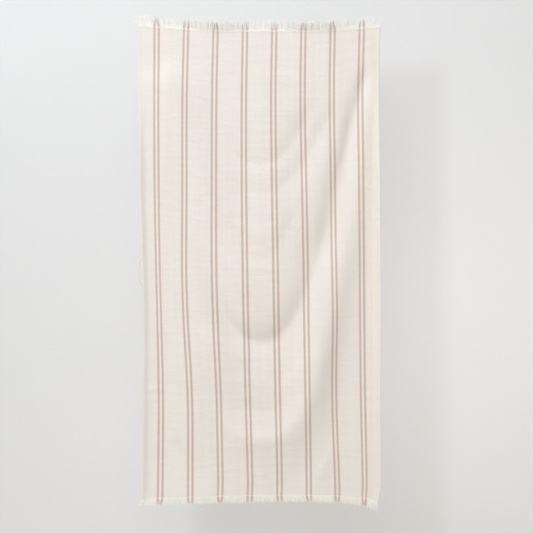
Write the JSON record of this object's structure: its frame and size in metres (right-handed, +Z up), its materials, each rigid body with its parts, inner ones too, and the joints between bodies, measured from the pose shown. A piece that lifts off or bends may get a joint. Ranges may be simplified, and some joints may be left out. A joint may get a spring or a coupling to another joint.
{
  "type": "beach towel",
  "caption": "Flat-woven striped cotton beach towel with fringed ends, hanging by its top corners in soft nested folds.",
  "frame": {"origin": "middle of the cloth's top edge, in the middle of its thickness", "axes": "+Z up along the hung cloth's length, +X along its width to the viewer's right, +Y back towards the wall"},
  "size_m": [0.9183, 0.0545, 1.8256],
  "materials": {
    "cloth": "matt cream cotton, flat-woven, with pairs of narrow pink-brown stripes along its length",
    "fringe": "loose cream cotton yarns, pink-brown where the stripes run out",
    "loop": "white twisted cotton cord"
  },
  "bodies": {
    "root": {"cloth": "cloth", "top_fringe": "fringe", "bottom_fringe": "fringe", "hang_loop": "loop"}
  },
  "joints": []
}
